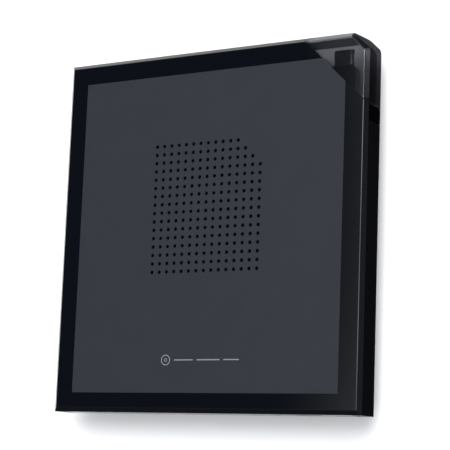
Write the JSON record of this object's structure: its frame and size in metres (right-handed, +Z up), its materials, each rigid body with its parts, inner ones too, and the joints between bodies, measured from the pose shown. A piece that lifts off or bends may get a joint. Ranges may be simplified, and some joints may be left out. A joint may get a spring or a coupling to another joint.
{
  "type": "external optical disc drive",
  "caption": "Slim external disc drive with sliding tray, spindle, pickup sled, cable wound under the case and a plug parked in a smoked clear corner.",
  "frame": {"origin": "centre of the case's footprint at desk level, under the rubber feet", "axes": "+Z up through the thickness, +Y to the rear, the tray opens along -Y, +X to the right seen from the front"},
  "size_m": [0.1354, 0.1424, 0.021],
  "materials": {
    "gloss_black": "polished black lid and case",
    "matte_panel": "fine matte slate grey",
    "smoked_clear": "smoked clear, polished",
    "insert_black": "deep gloss black",
    "black_plastic": "fine texture",
    "tray_plastic": "fine texture",
    "rubber_black": "soft",
    "cable_jacket": "satin jacket",
    "plug_grip": "moulded grip",
    "nickel": "nickel plated",
    "sheet_steel": "zinc coated sheet",
    "bright_steel": "ground rod",
    "board_green": "solder resist",
    "chip_black": "moulded packages",
    "flex_amber": "polyimide film",
    "flex_white": "flat ribbon",
    "connector_ivory": "connector body",
    "light_pipe": "frosted light pipe",
    "lens_glass": "coated lens",
    "magnesium": "die-cast pickup body",
    "spring_steel": "drawn wire",
    "copper_part": "solenoid and motor winding tape"
  },
  "bodies": {
    "drive": {"lid_frame": "gloss_black", "top_panel": "matte_panel", "corner_window": "smoked_clear", "side_insert": "insert_black", "lower_case": "gloss_black", "cable_hub": "black_plastic", "base_cover": "black_plastic", "base_screws": "sheet_steel", "usb_cable": "cable_jacket", "cable_gland": "rubber_black", "inner_lead": "cable_jacket", "plug_boot": "plug_grip", "plug_shell": "nickel", "plug_contacts": "black_plastic", "plug_holder": "black_plastic", "bridge_board": "board_green", "bridge_parts": "chip_black", "sata_flex": "flex_amber", "chassis_pan": "sheet_steel", "chassis_cover": "sheet_steel", "rail_guide_right": "black_plastic", "rail_guide_left": "black_plastic", "latch_post": "bright_steel", "sata_board": "board_green", "module_connector": "connector_ivory", "module_screws": "sheet_steel", "ejector_pusher": "connector_ivory", "ejector_spring": "spring_steel", "tray_ribbon": "flex_white", "foot_front_left": "rubber_black", "foot_front_right": "rubber_black", "foot_rear_left": "rubber_black", "foot_rear_right": "rubber_black"},
    "rails": {"slide_rail_right": "sheet_steel", "slide_rail_left": "sheet_steel"},
    "tray": {"disc_tray": "tray_plastic", "front_bezel": "gloss_black", "led_pipe": "light_pipe", "eject_switch": "chip_black", "tray_board": "board_green", "tray_chips": "chip_black", "traverse_plate": "sheet_steel", "traverse_cover": "black_plastic", "traverse_dampers": "rubber_black", "spindle_stator": "copper_part", "stepper_motor": "sheet_steel", "guide_rods": "bright_steel", "latch_solenoid": "copper_part"},
    "button": {"eject_button": "gloss_black"},
    "spindle": {"spindle_rotor": "bright_steel", "turntable_pad": "rubber_black"},
    "claw_1": {"disc_claw_1": "black_plastic"},
    "claw_2": {"disc_claw_2": "black_plastic"},
    "claw_3": {"disc_claw_3": "black_plastic"},
    "screw": {"lead_screw": "bright_steel"},
    "pickup": {"pickup_carriage": "magnesium"},
    "lens": {"lens_holder": "chip_black", "objective_lens": "lens_glass"},
    "latch": {"latch_lever": "connector_ivory"},
    "plunger": {"solenoid_plunger": "bright_steel"}
  },
  "joints": [
    {"name": "tray_slide", "type": "slide", "parent": "drive", "child": "tray", "axis": [0, -1, 0], "range_m": [0, 0.126], "deforming": ["tray_ribbon"]},
    {"name": "rails_slide", "type": "slide", "parent": "drive", "child": "rails", "axis": [0, -1, 0], "range_m": [0, 0.0631]},
    {"name": "button_press", "type": "slide", "parent": "tray", "child": "button", "axis": [0, 1, 0], "range_m": [0, 0.0005], "stiffness_N_per_m": 800},
    {"name": "disc_spin", "type": "hinge", "parent": "tray", "child": "spindle", "pos_m": [0, -0.007, 0.015], "axis": [0, 0, 1], "continuous": true},
    {"name": "pickup_travel", "type": "slide", "parent": "tray", "child": "pickup", "axis": [-0.7071, 0.7071, 0], "range_m": [0, 0.033]},
    {"name": "screw_turn", "type": "hinge", "parent": "tray", "child": "screw", "pos_m": [-0.00955, 0.02588, 0.0134], "axis": [-0.7071, 0.7071, 0], "range_deg": [0, 3965]},
    {"name": "lens_focus", "type": "slide", "parent": "pickup", "child": "lens", "axis": [0, 0, 1], "range_m": [-0.0004, 0.0004], "stiffness_N_per_m": 40},
    {"name": "latch_swing", "type": "hinge", "parent": "tray", "child": "latch", "pos_m": [0.03, 0.02, 0.013], "axis": [0, 0, 1], "range_deg": [-11.5, 0]},
    {"name": "plunger_slide", "type": "slide", "parent": "tray", "child": "plunger", "axis": [1, 0, 0], "range_m": [0, 0.001]},
    {"name": "claw_1_press", "type": "slide", "parent": "spindle", "child": "claw_1", "axis": [0.7071, -0.7071, 0], "range_m": [0, 0.0005], "stiffness_N_per_m": 300},
    {"name": "claw_2_press", "type": "slide", "parent": "spindle", "child": "claw_2", "axis": [0.2588, 0.9659, 0], "range_m": [0, 0.0005], "stiffness_N_per_m": 300},
    {"name": "claw_3_press", "type": "slide", "parent": "spindle", "child": "claw_3", "axis": [-0.9659, -0.2588, 0], "range_m": [0, 0.0005], "stiffness_N_per_m": 300}
  ],
  "couplings": [
    {"joint": "rails_slide", "follows": "tray_slide", "ratio": 0.5},
    {"joint": "screw_turn", "follows": "pickup_travel", "rad_per_m": 2094.4},
    {"joint": "latch_swing", "follows": "plunger_slide", "rad_per_m": -200},
    {"joint": "claw_2_press", "follows": "claw_1_press", "ratio": 1},
    {"joint": "claw_3_press", "follows": "claw_1_press", "ratio": 1}
  ]
}
